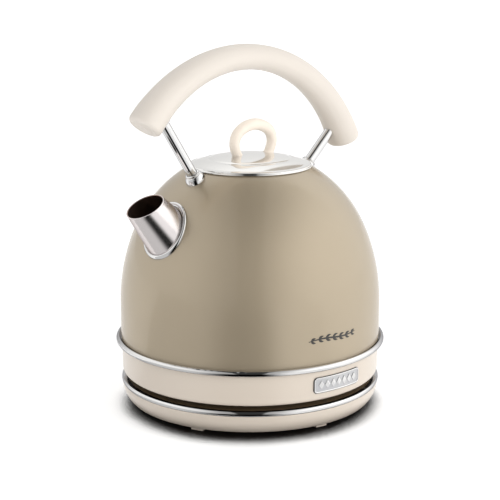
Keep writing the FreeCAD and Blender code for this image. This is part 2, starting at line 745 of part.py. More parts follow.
def spout():
    taper = (d.spout_foot - d.spout_mouth) / d.spout_long
    reach = 14.0
    foot = d.spout_foot + taper * reach
    tip = d.spout_mouth - taper * reach
    solid = cone("spout_solid", foot, tip, -reach, d.spout_long + reach)
    hollow = cone("spout_hollow", foot - d.spout_wall, tip - d.spout_wall, -reach,
                  d.spout_long + reach)
    mouth_way = direction(d.mouth_tilt.value, -1)
    above = rod("mouth_cutter", 60.0, 60.0, along(spout_root, spout_way, d.spout_long), mouth_way)
    core = dome_form("spout_seat", 0.02)
    tube_shape = cut("spout", solid, [hollow, above, core])

    ring = common("collar_ring", rod("collar_disc", d.collar_radius, 40.0,
                                     along(spout_root, spout_way, -15), spout_way),
                  dome_form("collar_skin", d.collar_high))
    hole = cone("collar_hole", foot + 0.05, tip + 0.05, -reach, d.spout_long + reach)
    collar = cut("spout_collar", ring, [dome_form("collar_seat", 0.02), hole])
    keep(tube_shape, collar)


def slab(label, centre, turn, thick, wide, tall):
    """A box centred on a point, with its thickness along the filter's own axis."""
    thing = doc.addObject("Part::Box", label)
    bind(thing, "Length", thick)
    bind(thing, "Width", wide)
    bind(thing, "Height", tall)
    corner = turn.multVec(V(-thick.value / 2, -wide.value / 2, -tall.value / 2))
    thing.Placement = FreeCAD.Placement(V(*centre) + corner, turn)
    return thing


def filter_set():
    """A framed mesh in a welded sleeve, just inside the hole to the spout."""
    tilt = d.filter_tilt.value
    turn = FreeCAD.Rotation(ALONG_Y, tilt)
    inward = turn.multVec(ALONG_X)
    wall_point = V(-(Dome.crown_x + d.crown_curve * math.cos(math.radians(tilt))).value, 0,
                   (Dome.crown_z + d.crown_curve * math.sin(math.radians(tilt))).value)
    middle = wall_point + inward * 7.3
    border = d.filter_border * 2
    frame = cut("filter_frame",
                slab("frame_block", middle, turn, d.filter_thick, d.filter_wide, d.filter_tall),
                [slab("frame_window", middle, turn, d.filter_thick * 3,
                      d.filter_wide - border, d.filter_tall - border)])
    mesh = slab("filter_mesh", middle, turn, d.mesh_thick,
                d.filter_wide - border - 0.1, d.filter_tall - border - 0.1)
    gap = d.seat_gap * 2
    wall = gap + d.seat_wall * 2
    deep = size(16.0)
    sleeve_middle = middle - inward * 5.0
    sleeve = cut("sleeve_whole",
                 slab("sleeve_block", sleeve_middle, turn, deep, d.filter_wide + wall,
                      d.filter_tall + wall),
                 [slab("sleeve_hollow", sleeve_middle, turn, deep * 2, d.filter_wide + gap,
                       d.filter_tall + gap)])
    seat = common("filter_seat", sleeve, dome_form("seat_skin", -(d.shell_wall + 0.05)))
    keep(frame, mesh, seat)


# ---------------------------------------------------------------- lid

def lid_height(radius, depth=0.0):
    """The height of the lid's surface at a radius, some way below its polished face."""
    curve = d.lid_curve - depth
    return d.lid_top - d.lid_curve + (curve * curve - size(radius) * size(radius)).root()


def lid():
    inner_edge = d.lid_edge - 0.8
    sheet = turned("cover_sheet", [
        (0, d.lid_top - d.lid_sheet),
        (inner_edge, lid_height(inner_edge, d.lid_sheet), -(d.lid_curve - d.lid_sheet)),
        (d.lid_edge - 0.1, d.lid_lip + 0.2),
        (d.lid_radius - 0.2, d.lid_lip),
        (d.lid_radius, d.lid_lip + 0.4),
        (d.lid_edge, lid_height(d.lid_edge), 0.9),
        (0, d.lid_top, d.lid_curve),
    ])
    screws = []
    ways = []
    pilots = []
    stance = 14.9
    under = lid_height(d.knob_x + stance + 2.6, d.lid_sheet) - 0.1
    for tag, side in (("front", -1), ("rear", 1)):
        x = d.knob_x + stance * side
        screws.append(joined(f"knob_screw_{tag}", [
            rod(f"knob_head_{tag}", 2.5, 1.5, (x, 0, under - 1.5)),
            rod(f"knob_shank_{tag}", 1.2, 7.5, (x, 0, under - 1.0)),
        ]))
        ways.append(rod(f"lid_way_{tag}", 1.4, 10.0, (x, 0, under - 2.0)))
        pilots.append(rod(f"knob_pilot_{tag}", 1.2 + d.bore_gap, 9.0, (x, 0, under - 1.0)))
    cover = cut("lid_cover", sheet, ways)
    pan_blank = turned("pan_blank", [
        (0, d.pan_bottom),
        (d.pan_radius, d.pan_bottom),
        (d.pan_radius, d.pan_top),
        (d.pan_radius - d.lid_sheet, d.pan_top),
        (d.pan_radius - d.lid_sheet, d.pan_bottom + d.lid_sheet),
        (0, d.pan_bottom + d.lid_sheet),
    ])
    vents = [rod(f"steam_vent_{a}", 2.0, 4.0, (*around(30.0, a), d.pan_bottom - 1))
             for a in range(0, 360, 60)]
    pan = cut("lid_pan", pan_blank, vents)
    seal = turned("lid_seal", [
        (d.pan_radius + 0.03, d.seal_bottom),
        (d.seal_radius - 0.5, d.seal_bottom),
        (d.seal_radius, d.seal_bottom + d.seal_high / 2),
        (d.seal_radius - 0.5, d.seal_bottom + d.seal_high),
        (d.pan_radius + 0.03, d.seal_bottom + d.seal_high),
    ])
    keep(cover, pan, seal, group("knob_screws", screws), lid_knob(pilots))


def lid_knob(pilots):
    """A loop of round bar: a flat arch, two round shoulders and two legs that lean in."""
    shoulder_start, shoulder_end = math.radians(55), math.radians(-25)
    arch_z = d.knob_top - d.knob_arch
    turn_x = (d.knob_arch - d.knob_shoulder) * math.cos(shoulder_start)
    turn_z = arch_z + (d.knob_arch - d.knob_shoulder) * math.sin(shoulder_start)
    top_x = d.knob_arch * math.cos(shoulder_start)
    top_z = arch_z + d.knob_arch * math.sin(shoulder_start)
    leg_x = turn_x + d.knob_shoulder * math.cos(shoulder_end)
    leg_z = turn_z + d.knob_shoulder * math.sin(shoulder_end)
    foot_x = leg_x - (leg_z - d.knob_foot) * math.tan(-shoulder_end)
    middle = d.knob_x
    body = new_body("knob_loop")
    route = sketch_on(body, "XZ_Plane", "knob_route")
    draw(route, [
        (middle - foot_x, d.knob_foot),
        (middle - leg_x, leg_z),
        (middle - top_x, top_z, -d.knob_shoulder),
        (middle + top_x, top_z, -d.knob_arch),
        (middle + leg_x, leg_z, -d.knob_shoulder),
        (middle + foot_x, d.knob_foot),
    ], closed=False)
    ring = sketch_on(body, "XY_Plane", "knob_bar")
    ring.AttachmentOffset = FreeCAD.Placement(
        V((middle - foot_x).value, 0, d.knob_foot.value),
        FreeCAD.Rotation(ALONG_Y, math.degrees(shoulder_end)))
    edge = ring.addGeometry(Part.Circle(V(0, 0, 0), UP, d.knob_radius.value))
    ring.addConstraint(Sketcher.Constraint("Coincident", edge, 3, -1, 1))
    held = ring.addConstraint(Sketcher.Constraint("Radius", edge, d.knob_radius.value))
    ring.setExpression(f"Constraints[{held}]", d.knob_radius.text)
    pipe = body.newObject("PartDesign::AdditivePipe", "knob_pipe")
    pipe.Profile = ring
    pipe.Spine = (route, [])
    body.Tip = pipe
    lid_face = turned("lid_face", [
        (0, 160.0), (d.lid_edge, 160.0), (d.lid_edge, lid_height(d.lid_edge) + 0.02),
        (0, d.lid_top + 0.02, d.lid_curve)])
    return cut("lid_knob", body, [lid_face, *pilots])


# ---------------------------------------------------------------- handle

STRUT_LENGTH = {"front": 57.0, "rear": 42.0}
ROUNDED_ENDS = ((0.0, 0.45), (0.35, 0.74), (1.2, 0.9), (2.6, 0.98), (4.5, 1.0))


def grip_section(angle, scale):
    """The grip's oval section where its arc has reached an angle."""
    spread = (d.grip_front.value - d.grip_rear.value) / 2
    middle = (d.grip_front.value + d.grip_rear.value) / 2
    swell = abs(angle - middle) / spread
    half = (d.grip_half.value + d.grip_swell.value * swell ** 1.6) * scale
    way = V(math.cos(math.radians(angle)), 0, math.sin(math.radians(angle)))
    centre = V(d.grip_x.value, 0, d.grip_z.value) + way * d.grip_arc.value
    ring = Part.Ellipse(centre + ALONG_Y * half * 1.04, centre + way * half, centre)
    return Part.Wire(ring.toShape())


def handle():
    curve = math.degrees(1 / d.grip_arc.value)
    stations = [(d.grip_front.value - back * curve, scale) for back, scale in ROUNDED_ENDS]
    steps = 14
    first = stations[-1][0]
    last = d.grip_rear.value + ROUNDED_ENDS[-1][0] * curve
    stations += [(first + (last - first) * i / steps, 1.0) for i in range(1, steps)]
    stations += [(d.grip_rear.value + back * curve, scale)
                 for back, scale in reversed(ROUNDED_ENDS)]
    blank = shape_of("grip_blank",
                     Part.makeLoft([grip_section(a, s) for a, s in stations], True, False))
    bores = []
    inserts = []
    for side, (foot, way) in STRUTS.items():
        length = STRUT_LENGTH[side]
        bores.append(rod(f"{side}_grip_bore", d.strut_radius + d.bore_gap, 30.0,
                         along(foot, way, length - 29.7), way))
        bores.append(rod(f"{side}_insert_bore", d.strut_radius + 1.6, 8.1,
                         along(foot, way, length - 8.0), way))
        inserts.append(cut(f"{side}_insert", rod(f"{side}_insert_rod", d.strut_radius + 1.55, 8.0,
                                                 along(foot, way, length - 7.95), way), [
            rod(f"{side}_insert_hole", d.strut_radius + d.bore_gap, 10.0,
                along(foot, way, length - 9.0), way)]))
    keep(cut("handle_grip", blank, bores), group("grip_inserts", inserts))

    washers = []
    nuts = []
    for side, (foot, way) in STRUTS.items():
        length = STRUT_LENGTH[side]
        keep(joined(f"{side}_strut", [
            rod(f"{side}_bar", d.strut_radius, length - 1.3, along(foot, way, 1.3), way),
            rod(f"{side}_stud", d.stud_radius, 9.0, along(foot, way, -7.0), way)]))
        keep(ferrule(side, foot, way))
        washers.append(cut(f"{side}_washer", rod(f"{side}_washer_disc", 5.0, 1.0,
                                                 along(foot, way, -3.0), way), [
            rod(f"{side}_washer_hole", d.stud_radius + d.bore_gap, 3.0, along(foot, way, -4), way)]))
        nuts.append(hex_nut(side, foot, way))
    keep(group("strut_washers", washers), group("strut_nuts", nuts))


def ferrule(side, foot, way):
    """A round button with a short collar, shaped to the dome below and bored for the strut."""
    bore = d.strut_radius + d.bore_gap
    button = turned(f"{side}_button", [
        (bore, -4.0),
        (d.ferrule_radius, -4.0),
        (d.ferrule_radius, 0.2),
        (d.ferrule_collar, d.ferrule_high, 5.6),
        (d.ferrule_collar, d.ferrule_high + 0.8),
        (bore, d.ferrule_high + 0.8),
    ])
    placed(button, foot, way)
    return cut(f"{side}_ferrule", button, [dome_form(f"{side}_ferrule_seat", 0.02)])


def hex_nut(side, foot, way):
    nut = doc.addObject("Part::Prism", f"{side}_nut_blank")
    nut.Polygon = 6
    nut.Circumradius = 4.0
    nut.Height = 3.0
    placed(nut, along(foot, way, -6.1), way)
    return cut(f"{side}_nut", nut, [
        rod(f"{side}_nut_hole", d.stud_radius + d.bore_gap, 6.0, along(foot, way, -8), way)])


# ---------------------------------------------------------------- build, check and write

def check():
    for thing in doc.Objects:
        if "Invalid" in thing.State or "Error" in thing.State:
            raise RuntimeError(f"{thing.Label} failed: {thing.State}")
    for thing in nodes:
        if thing.Shape.isNull() or not thing.Shape.isValid() or not thing.Shape.Solids:
            raise RuntimeError(f"{thing.Label} has no valid solid")


def write():
    os.makedirs("parts", exist_ok=True)
    for thing in nodes:
        thing.Shape.exportStep(f"parts/{thing.Label}.step")
        print(f"{thing.Label}: {len(thing.Shape.Solids)} solids, {thing.Shape.Volume:.0f} mm3")


power_base()
connector()
jug_bottom()
heating()
steam_tube()
switch()
badge_plate()
body_shell()
spout()
filter_set()
lid()
handle()
doc.recompute()
check()
write()
print(f"{len(nodes)} nodes")
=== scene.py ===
import math

import bmesh
import bpy
from mathutils import Matrix, Vector


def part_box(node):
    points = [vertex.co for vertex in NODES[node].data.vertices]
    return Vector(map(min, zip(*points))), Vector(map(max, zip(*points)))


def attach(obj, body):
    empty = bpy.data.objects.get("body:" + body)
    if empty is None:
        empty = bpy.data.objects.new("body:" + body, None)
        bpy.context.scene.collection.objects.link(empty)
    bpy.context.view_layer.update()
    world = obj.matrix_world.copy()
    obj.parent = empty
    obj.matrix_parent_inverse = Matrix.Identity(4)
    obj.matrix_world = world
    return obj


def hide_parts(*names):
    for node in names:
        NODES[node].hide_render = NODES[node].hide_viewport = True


# The looks of a domed electric kettle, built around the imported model.
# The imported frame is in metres. Pieces made here are drawn in millimetres and scaled as they
# are made.

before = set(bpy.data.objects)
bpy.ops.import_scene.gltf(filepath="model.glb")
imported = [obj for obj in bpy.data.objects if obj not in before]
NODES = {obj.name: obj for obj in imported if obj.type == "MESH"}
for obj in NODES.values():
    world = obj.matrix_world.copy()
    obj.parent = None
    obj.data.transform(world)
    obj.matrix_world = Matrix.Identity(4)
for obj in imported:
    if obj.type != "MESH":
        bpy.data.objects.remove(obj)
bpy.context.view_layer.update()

MM = 0.001
UP = Vector((0, 0, 1))


def node_box(name):
    """A CAD node's two corners in millimetres."""
    low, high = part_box(name)
    return low / MM, high / MM


# ---------------------------------------------------------------- driving sizes, in millimetres

SHELL_RADIUS = node_box("body_shell")[1].x
DOME_START = 71.4
FLANK_CURVE = 133.3
DOME_JOIN = 125.7
CROWN_CURVE = 89.3
JOIN_RISE = DOME_JOIN - DOME_START
JOIN_RUN = math.sqrt(FLANK_CURVE ** 2 - JOIN_RISE ** 2)
CROWN_X = SHELL_RADIUS - FLANK_CURVE + JOIN_RUN * (1 - CROWN_CURVE / FLANK_CURVE)
CROWN_Z = DOME_JOIN - CROWN_CURVE * JOIN_RISE / FLANK_CURVE

VIEW_AZIMUTH = math.radians(-131)
VIEW_DISTANCE = 1.009
VIEW_HEIGHT = 0.344
VIEW_PITCH = math.radians(13.22)
LENS = 106.0
BACK = Vector((math.cos(VIEW_AZIMUTH), math.sin(VIEW_AZIMUTH), 0))
RIGHT = Vector((-math.sin(VIEW_AZIMUTH), math.cos(VIEW_AZIMUTH), 0))


# ---------------------------------------------------------------- mesh helpers

def solid(name, body, slot, rings, loop=False, sharp=35):
    """A mesh skinned over rings of points. Each ring is closed, and so is the run if loop is set;
    otherwise the first and last ring are filled unless they are single points."""
    verts = [p * MM for ring in rings for p in ring]
    count = len(rings[0])
    faces = []
    spans = len(rings) if loop else len(rings) - 1
    for i in range(spans):
        here, there = i * count, (i + 1) % len(rings) * count
        for j in range(count):
            k = (j + 1) % count
            faces.append((here + j, here + k, there + k, there + j))
    if not loop:
        faces.append(tuple(reversed(range(count))))
        faces.append(tuple(range(len(verts) - count, len(verts))))
    return finished(name, body, slot, verts, faces, sharp)


def finished(name, body, slot, verts, faces, sharp=35):
    """An object from points and faces, with its doubles merged and its normals turned outwards."""
    mesh = bpy.data.meshes.new(name)
    mesh.from_pydata([tuple(v) for v in verts], [], faces)
    work = bmesh.new()
    work.from_mesh(mesh)
    bmesh.ops.remove_doubles(work, verts=work.verts, dist=1e-6)
    bmesh.ops.dissolve_degenerate(work, edges=work.edges, dist=1e-7)
    bmesh.ops.recalc_face_normals(work, faces=work.faces)
    work.to_mesh(mesh)
    work.free()
    return dressed(name, body, slot, mesh, sharp)


def dressed(name, body, slot, mesh, sharp=35):
    for face in mesh.polygons:
        face.use_smooth = True
    mesh.set_sharp_from_angle(angle=math.radians(sharp))
    piece = bpy.data.objects.new(name, mesh)
    bpy.context.scene.collection.objects.link(piece)
    mesh.materials.append(MATERIALS[slot])
    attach(piece, body)
    return piece


def arc_points(start, end, radius):
    """Points after start on the arc to end, whose centre is on the left if radius is positive."""
    start, end = Vector(start), Vector(end)
    chord = end - start
    left = Vector((-chord.y, chord.x)).normalized()
    reach = math.sqrt(max(radius ** 2 - (chord.length / 2) ** 2, 0))
    centre = (start + end) / 2 + left * math.copysign(reach, radius)
    first = math.atan2(start.y - centre.y, start.x - centre.x)
    last = math.atan2(end.y - centre.y, end.x - centre.x)
    turn = (last - first) % (2 * math.pi)
    if radius < 0:
        turn -= 2 * math.pi
    steps = max(math.ceil(abs(turn) / math.radians(11)), math.ceil(abs(turn * radius) / 3))
    return [centre + Vector((math.cos(a), math.sin(a))) * abs(radius)
            for a in (first + turn * (i + 1) / steps for i in range(steps))]


def outline(points):
    """An outline's points. (x, y) ends a line, and (x, y, radius) ends an arc."""
    drawn = [Vector(points[0][:2])]
    for point in points[1:]:
        if len(point) == 2:
            drawn.append(Vector(point))
        else:
            drawn += arc_points(drawn[-1], point[:2], point[2])
    return drawn


def spun(points, steps, place=Matrix.Identity(4)):
    """Rings of an outline of (radius, height) turned about Z, then set in place."""
    angles = [2 * math.pi * i / steps for i in range(steps)]
    return [[place @ Vector((p.x * math.cos(a), p.x * math.sin(a), p.y)) for a in angles]
            for p in outline(points)]


def stand(at, way):
    """The frame that stands at a point with its Z along a way in the XZ plane."""
    side = Vector((0, 1, 0))
    across = side.cross(way)
    return Matrix((
        (across.x, side.x, way.x, at.x),
        (across.y, side.y, way.y, at.y),
        (across.z, side.z, way.z, at.z),
        (0, 0, 0, 1)))


def way_of(elevation, side):
    rise = math.radians(elevation)
    return Vector((side * math.cos(rise), 0, math.sin(rise)))


def dome_gap(point):
    """How far a point is outside the painted dome."""
    radius = math.hypot(point.x, point.y)
    if point.z < DOME_START:
        return radius - SHELL_RADIUS
    if point.z - CROWN_Z > (radius - CROWN_X) * JOIN_RISE / JOIN_RUN:
        return math.hypot(radius - CROWN_X, point.z - CROWN_Z) - CROWN_CURVE
    return math.hypot(radius - SHELL_RADIUS + FLANK_CURVE, point.z - DOME_START) - FLANK_CURVE


def onto_dome(start, way, gap, reach=60):
    """The point on a line from inside the dome where the line is a gap outside it."""
    low, high = -reach, reach
    for _ in range(40):
        middle = (low + high) / 2
        if dome_gap(start + way * middle) < gap:
            low = middle
        else:
            high = middle
    return start + way * low


# ---------------------------------------------------------------- materials

def new_material(name):
    material = bpy.data.materials.new(name)
    material.use_nodes = True
    tree = material.node_tree
    tree.nodes.clear()
    shader = tree.nodes.new("ShaderNodeBsdfPrincipled")
    out = tree.nodes.new("ShaderNodeOutputMaterial")
    tree.links.new(shader.outputs["BSDF"], out.inputs["Surface"])
    return material, tree, shader


def node(tree, kind, **inputs):
    """A shader node with some of its inputs set or linked."""
    made = tree.nodes.new(kind)
    for name, value in inputs.items():
        socket = made.inputs[name.replace("_", " ")]
        if isinstance(value, bpy.types.NodeSocket):
            tree.links.new(value, socket)
        else:
            socket.default_value = value
    return made


def maths(tree, operation, one, other):
    made = tree.nodes.new("ShaderNodeMath")
    made.operation = operation
    for socket, value in zip(made.inputs, (one, other)):
        if isinstance(value, bpy.types.NodeSocket):
            tree.links.new(value, socket)
        else:
            socket.default_value = value
    return made.outputs[0]


def ramp(tree, value, start, finish, low, high):
    """A smooth step between two levels."""
    made = node(tree, "ShaderNodeMapRange", Value=value, From_Min=start, From_Max=finish,
                To_Min=low, To_Max=high)
    made.interpolation_type = "SMOOTHSTEP"
    return made.outputs[0]


def toward(tree, way, direction):
    made = tree.nodes.new("ShaderNodeVectorMath")
    made.operation = "DOT_PRODUCT"
    tree.links.new(way, made.inputs[0])
    made.inputs[1].default_value = direction
    return made.outputs["Value"]


def spread(tree, value, low, high):
    """A noise value spread over a range."""
    return node(tree, "ShaderNodeMapRange", Value=value, To_Min=low, To_Max=high).outputs[0]


def blended(tree, factor, one, other):
    mix = tree.nodes.new("ShaderNodeMix")
    mix.data_type = "RGBA"
    tree.links.new(factor, mix.inputs["Factor"])
    mix.inputs["A"].default_value = (*one, 1)
    mix.inputs["B"].default_value = (*other, 1)
    return mix.outputs["Result"]


def plain_space(tree, stretch=(1, 1, 1)):
    place = node(tree, "ShaderNodeTexCoord").outputs["Object"]
    return node(tree, "ShaderNodeMapping", Vector=place, Scale=stretch).outputs["Vector"]


def from_axis(tree, parts):
    """How far a place is from the Z axis."""
    flat = node(tree, "ShaderNodeCombineXYZ", X=parts.outputs["X"], Y=parts.outputs["Y"])
    radius = tree.nodes.new("ShaderNodeVectorMath")
    radius.operation = "LENGTH"
    tree.links.new(flat.outputs[0], radius.inputs[0])
    return radius.outputs["Value"]


def turned_space(tree, origin=(0, 0, 0), axis=(0, 0, 0), around=0.002):
    """Coordinates of radius, angle and height about an axis, for marks that run round a piece."""
    place = node(tree, "ShaderNodeTexCoord").outputs["Object"]
    moved = node(tree, "ShaderNodeMapping", Vector=place)
    moved.vector_type = "TEXTURE"
    moved.inputs["Location"].default_value = origin
    moved.inputs["Rotation"].default_value = axis
    parts = node(tree, "ShaderNodeSeparateXYZ", Vector=moved.outputs["Vector"])
    angle = maths(tree, "ARCTAN2", parts.outputs["Y"], parts.outputs["X"])
    return node(tree, "ShaderNodeCombineXYZ", X=from_axis(tree, parts),
                Y=maths(tree, "MULTIPLY", angle, around), Z=parts.outputs["Z"]).outputs[0]


def surface(name, colour, other, metallic=0.0, rough=(0.3, 0.36), grain=400.0, depth=0.02,
            clouds=30.0, coat=0.0, coat_rough=0.03, space=plain_space, **extra):
    """A finish: a slow drift between two colours, a fine grain in the gloss, and a fine bump."""
    material, tree, shader = new_material(name)
    where = space(tree)
    drift = node(tree, "ShaderNodeTexNoise", Vector=plain_space(tree), Scale=clouds, Detail=4.0)
    fine = node(tree, "ShaderNodeTexNoise", Vector=where, Scale=grain, Detail=3.0)
    tree.links.new(blended(tree, drift.outputs[0], colour, other), shader.inputs["Base Color"])
    tree.links.new(spread(tree, fine.outputs[0], *rough), shader.inputs["Roughness"])
    bump = node(tree, "ShaderNodeBump", Height=fine.outputs[0], Strength=depth, Distance=0.0002)
    tree.links.new(bump.outputs[0], shader.inputs["Normal"])
    shader.inputs["Metallic"].default_value = metallic
    shader.inputs["Coat Weight"].default_value = coat
    shader.inputs["Coat Roughness"].default_value = coat_rough
    for key, value in extra.items():
        shader.inputs[key.replace("_", " ")].default_value = value
    return material


SPOUT_ROOT = Vector((-74.0, 0, 130.5))
SPOUT_TILT = 47.5
CREAM = (0.63, 0.555, 0.475)
# Painted shade: dark brown for the shadowed gap between the jug and its base, put on the base's
# deck.
PAINTED_DECK_SHADE = (0.20, 0.14, 0.08)


def spout_space(tree):
    tilt = math.radians(SPOUT_TILT - 90)
    return turned_space(tree, origin=tuple(SPOUT_ROOT * MM), axis=(0, tilt, 0), around=0.003)


def make_materials():
    return {
        "taupe_paint": surface("taupe_paint", (0.42, 0.352, 0.255), (0.445, 0.372, 0.271),
                               metallic=0.5, rough=(0.36, 0.46), grain=2600.0, depth=0.05,
                               coat=0.7, coat_rough=0.04, Specular_Tint=(0.6, 0.54, 0.46, 1)),
        "cream_plastic": surface("cream_plastic", CREAM, (0.65, 0.575, 0.495), rough=(0.26, 0.36),
                                 grain=900.0, depth=0.04, coat=0.35, coat_rough=0.12),
        "cream_grip": surface("cream_grip", (0.71, 0.655, 0.595), (0.74, 0.685, 0.625),
                              rough=(0.46, 0.58), grain=1800.0, depth=0.18, Sheen_Weight=0.05),
        "cream_knob": surface("cream_knob", (0.90, 0.80, 0.69), (0.92, 0.83, 0.73),
                              rough=(0.24, 0.34), grain=1200.0, depth=0.05, coat=0.3,
                              coat_rough=0.1),
        "polished_chrome": surface("polished_chrome", (0.80, 0.795, 0.785), (0.77, 0.77, 0.77),
                                   metallic=1.0, rough=(0.04, 0.09), grain=700.0, depth=0.01,
                                   space=turned_space, Specular_Tint=(0.38, 0.38, 0.40, 1)),
        "polished_lid": surface("polished_lid", (0.82, 0.81, 0.79), (0.79, 0.785, 0.77),
                                metallic=1.0, rough=(0.05, 0.11), grain=1500.0, depth=0.015,
                                space=turned_space),
        "brushed_spout": surface("brushed_spout", (0.86, 0.81, 0.80), (0.80, 0.755, 0.75),
                                 metallic=1.0, rough=(0.17, 0.25), grain=900.0, depth=0.012,
                                 space=spout_space, Specular_Tint=(0.45, 0.42, 0.42, 1)),
        # Painted shade: the spout's inner skin is the same steel as its outside, made darker and
        # browner.
        "spout_inside": surface("spout_inside", (0.40, 0.28, 0.23), (0.30, 0.21, 0.17),
                                metallic=1.0, rough=(0.3, 0.45), grain=1800.0, depth=0.1,
                                space=spout_space),
        "badge_metal": surface("badge_metal", (0.62, 0.62, 0.63), (0.55, 0.55, 0.56),
                               metallic=1.0, rough=(0.28, 0.4), grain=1500.0, depth=0.05),
        "satin_steel": surface("satin_steel", (0.66, 0.655, 0.65), (0.60, 0.60, 0.60),
                               metallic=1.0, rough=(0.24, 0.38), grain=1500.0, depth=0.05,
                               space=turned_space),
        "zinc_steel": surface("zinc_steel", (0.70, 0.70, 0.71), (0.62, 0.64, 0.66), metallic=1.0,
                              rough=(0.25, 0.4), grain=1200.0, depth=0.06, clouds=300.0),
        "cast_aluminium": surface("cast_aluminium", (0.62, 0.62, 0.63), (0.55, 0.55, 0.56),
                                  metallic=1.0, rough=(0.4, 0.6), grain=1500.0, depth=0.3),
        "element_sheath": surface("element_sheath", (0.34, 0.31, 0.28), (0.42, 0.36, 0.27),
                                  metallic=1.0, rough=(0.35, 0.5), grain=900.0, depth=0.1),
        "brass_contacts": surface("brass_contacts", (0.78, 0.58, 0.27), (0.70, 0.50, 0.22),
                                  metallic=1.0, rough=(0.2, 0.34), grain=1500.0, depth=0.05),
        "black_plastic": surface("black_plastic", (0.018, 0.018, 0.018), (0.028, 0.027, 0.026),
                                 rough=(0.42, 0.56), grain=2500.0, depth=0.25),
        "brown_plastic": surface("brown_plastic", (0.030, 0.020, 0.013), (0.042, 0.029, 0.019),
                                 rough=(0.4, 0.52), grain=2500.0, depth=0.2),
        "rubber_pads": surface("rubber_pads", (0.55, 0.51, 0.46), (0.48, 0.45, 0.41),
                               rough=(0.7, 0.85), grain=2200.0, depth=0.3),
        "silicone": surface("silicone", (0.74, 0.74, 0.72), (0.68, 0.68, 0.66),
                            rough=(0.45, 0.6), grain=1500.0, depth=0.1, Transmission_Weight=0.2),
        "filter_net": surface("filter_net", (0.60, 0.60, 0.58), (0.50, 0.50, 0.48), metallic=1.0,
                              rough=(0.25, 0.4), grain=3000.0, depth=0.1),
        "amber_lens": surface("amber_lens", (0.85, 0.36, 0.08), (0.78, 0.30, 0.06),
                              rough=(0.08, 0.16), grain=1500.0, depth=0.05,
                              Transmission_Weight=0.55),
        "print_ink": surface("print_ink", (0.035, 0.033, 0.030), (0.050, 0.046, 0.042),
                             rough=(0.3, 0.4), grain=2500.0, depth=0.05),
    }


MATERIALS = make_materials()
# The base's deck above this height and inside this reach gets the painted shade.
DECK_HEIGHT = 17.6 * MM
DECK_REACH = 87.8 * MM


def cream_with_painted_deck_shade():
    """Cream plastic whose sunk deck, under the jug, is painted dark brown as the shade in the gap
    between the jug and its base.
    """
    material = MATERIALS["cream_plastic"].copy()
    material.name = "cream_and_painted_deck_shade"
    tree = material.node_tree
    shader = [n for n in tree.nodes if n.type == "BSDF_PRINCIPLED"][0]
    cream = shader.inputs["Base Color"].links[0].from_socket
    place = node(tree, "ShaderNodeTexCoord").outputs["Object"]
    parts = node(tree, "ShaderNodeSeparateXYZ", Vector=place)
    # Mask of the painted shade: the deck above its height and inside its reach.
    high = maths(tree, "GREATER_THAN", parts.outputs["Z"], DECK_HEIGHT)
    inside = maths(tree, "LESS_THAN", from_axis(tree, parts), DECK_REACH)
    mix = tree.nodes.new("ShaderNodeMix")
    mix.data_type = "RGBA"
    tree.links.new(maths(tree, "MULTIPLY", high, inside), mix.inputs["Factor"])
    tree.links.new(cream, mix.inputs["A"])
    mix.inputs["B"].default_value = (*PAINTED_DECK_SHADE, 1)
    tree.links.new(mix.outputs["Result"], shader.inputs["Base Color"])
    return material


def dress_nodes():
    """Give each CAD node the finish that its own slot names, bar two: the housing, whose sunk deck
    gets painted shade, and the grip inserts.
    """
    for part in NODES.values():
        for spot in part.material_slots:
            spot.material = MATERIALS[spot.material.name.split(".")[0]]
    NODES["base_housing"].material_slots[0].material = cream_with_painted_deck_shade()
    NODES["grip_inserts"].material_slots[0].material = MATERIALS["satin_steel"]


# ---------------------------------------------------------------- stage

FLOOR_RADIUS = 12.0
ROUND_SIDES = 96


def staged(name, verts, faces, material, unseen_by=()):
    """A piece of the stage, hidden from some kinds of ray."""
    mesh = bpy.data.meshes.new(name)
    mesh.from_pydata(verts, [], faces)
    mesh.materials.append(material)
    piece = bpy.data.objects.new(name, mesh)
    bpy.context.scene.collection.objects.link(piece)
    for ray in unseen_by:
        setattr(piece, f"visible_{ray}", False)


def glowing(name):
    """An empty material, its tree and its output, for something that only glows."""
    material = bpy.data.materials.new(name)
    material.use_nodes = True
    tree = material.node_tree
    tree.nodes.clear()
    return material, tree, tree.nodes.new("ShaderNodeOutputMaterial")


def stage_floor():
    """A white floor with a painted contact shadow: its colour and glow are darkened where the
    kettle hides it, by ambient occlusion leaning towards the camera.
    """
    verts = [(0, 0, 0)]
    for i in range(ROUND_SIDES):
        a = 2 * math.pi * i / ROUND_SIDES
        verts.append((FLOOR_RADIUS * math.cos(a), FLOOR_RADIUS * math.sin(a), 0))
    faces = [(0, 1 + i, 1 + (i + 1) % ROUND_SIDES) for i in range(ROUND_SIDES)]
    material, tree, shader = new_material("floor_white_with_painted_shadow")
    shadow_reach = 0.024
    leaning = -0.9 * BACK
    # Painted shadow: ambient occlusion darkens the floor's colour and glow near the kettle.
    near = node(tree, "ShaderNodeAmbientOcclusion", Distance=shadow_reach)
    near.samples = 8
    lean = node(tree, "ShaderNodeCombineXYZ", X=leaning.x, Y=leaning.y, Z=1.0)
    tree.links.new(lean.outputs[0], near.inputs["Normal"])
    clear = ramp(tree, near.outputs["AO"], 0.42, 0.72, 0.0, 1.0)
    tree.links.new(blended(tree, clear, (0.01, 0.008, 0.007), (0.55, 0.55, 0.55)),
                   shader.inputs["Base Color"])
    shader.inputs["Roughness"].default_value = 0.5
    shader.inputs["Specular IOR Level"].default_value = 0.1
    shader.inputs["Emission Color"].default_value = (1, 1, 1, 1)
    tree.links.new(maths(tree, "MULTIPLY", clear, 0.62),
                   shader.inputs["Emission Strength"])
    staged("floor", verts, faces, material)


